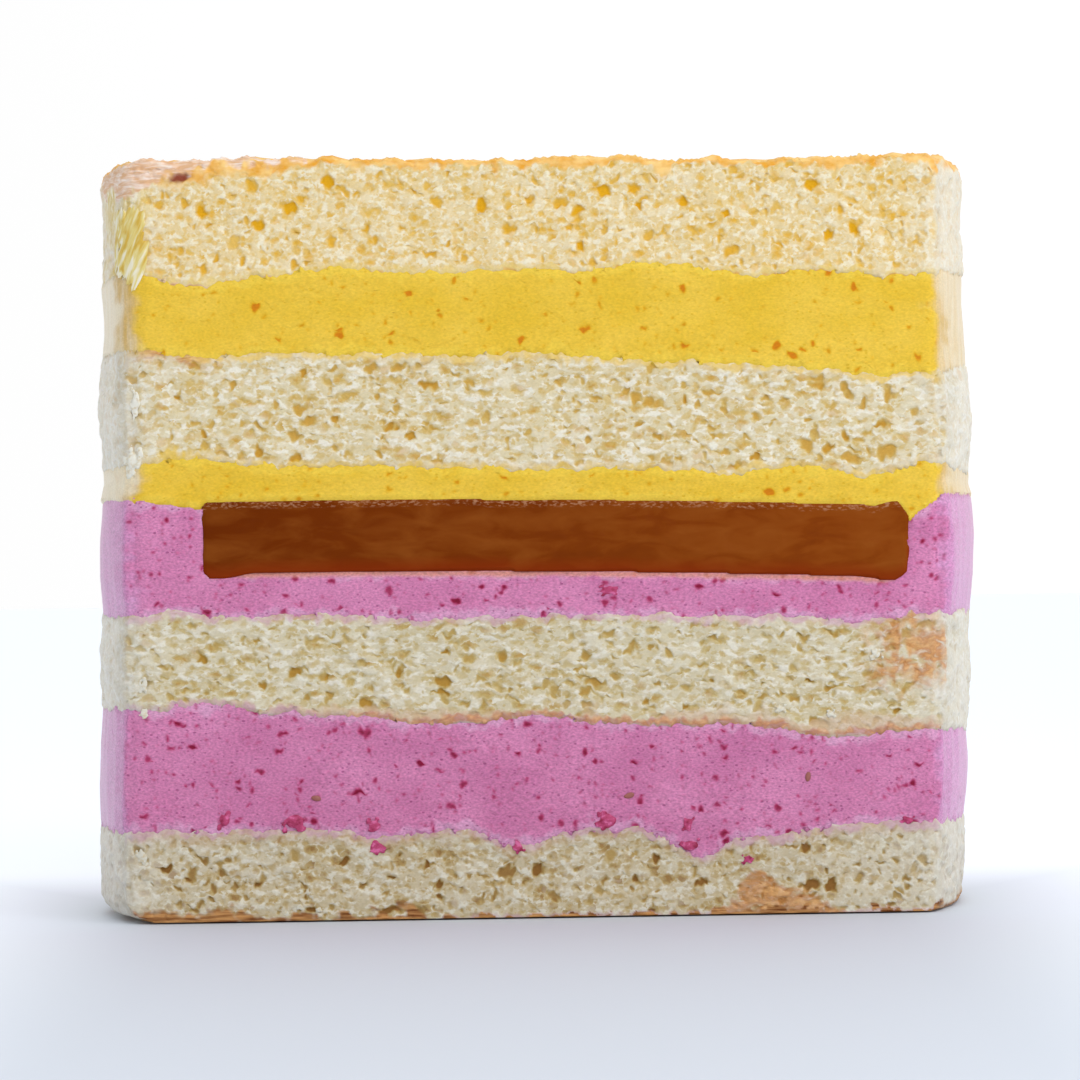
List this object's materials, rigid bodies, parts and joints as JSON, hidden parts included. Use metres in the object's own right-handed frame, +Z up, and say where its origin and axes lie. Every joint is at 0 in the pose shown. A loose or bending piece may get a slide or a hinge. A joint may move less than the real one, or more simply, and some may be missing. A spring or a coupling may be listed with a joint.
{
  "type": "mango cake",
  "caption": "Tall round mango and berry layer cake cut straight across, with sponge, mousse and a caramel disc showing in bands.",
  "frame": {"origin": "on the flat base that it stands on, under the centre of the round cake", "axes": "+Z up, -Y out of the cut face, +X to the right when looking at the cut face"},
  "size_m": [0.1631, 0.1152, 0.137],
  "materials": {
    "sponge": "open crumb, matte",
    "mango_mousse": "satin, smooth",
    "berry_mousse": "satin, smooth",
    "caramel": "moist, glossy jelly"
  },
  "bodies": {
    "root": {"sponge_bottom": "sponge", "berry_mousse_lower": "berry_mousse", "sponge_lower_middle": "sponge", "berry_mousse_upper": "berry_mousse", "caramel_insert": "caramel", "mango_mousse_lower": "mango_mousse", "sponge_upper_middle": "sponge", "mango_mousse_upper": "mango_mousse", "sponge_top": "sponge"}
  },
  "joints": []
}
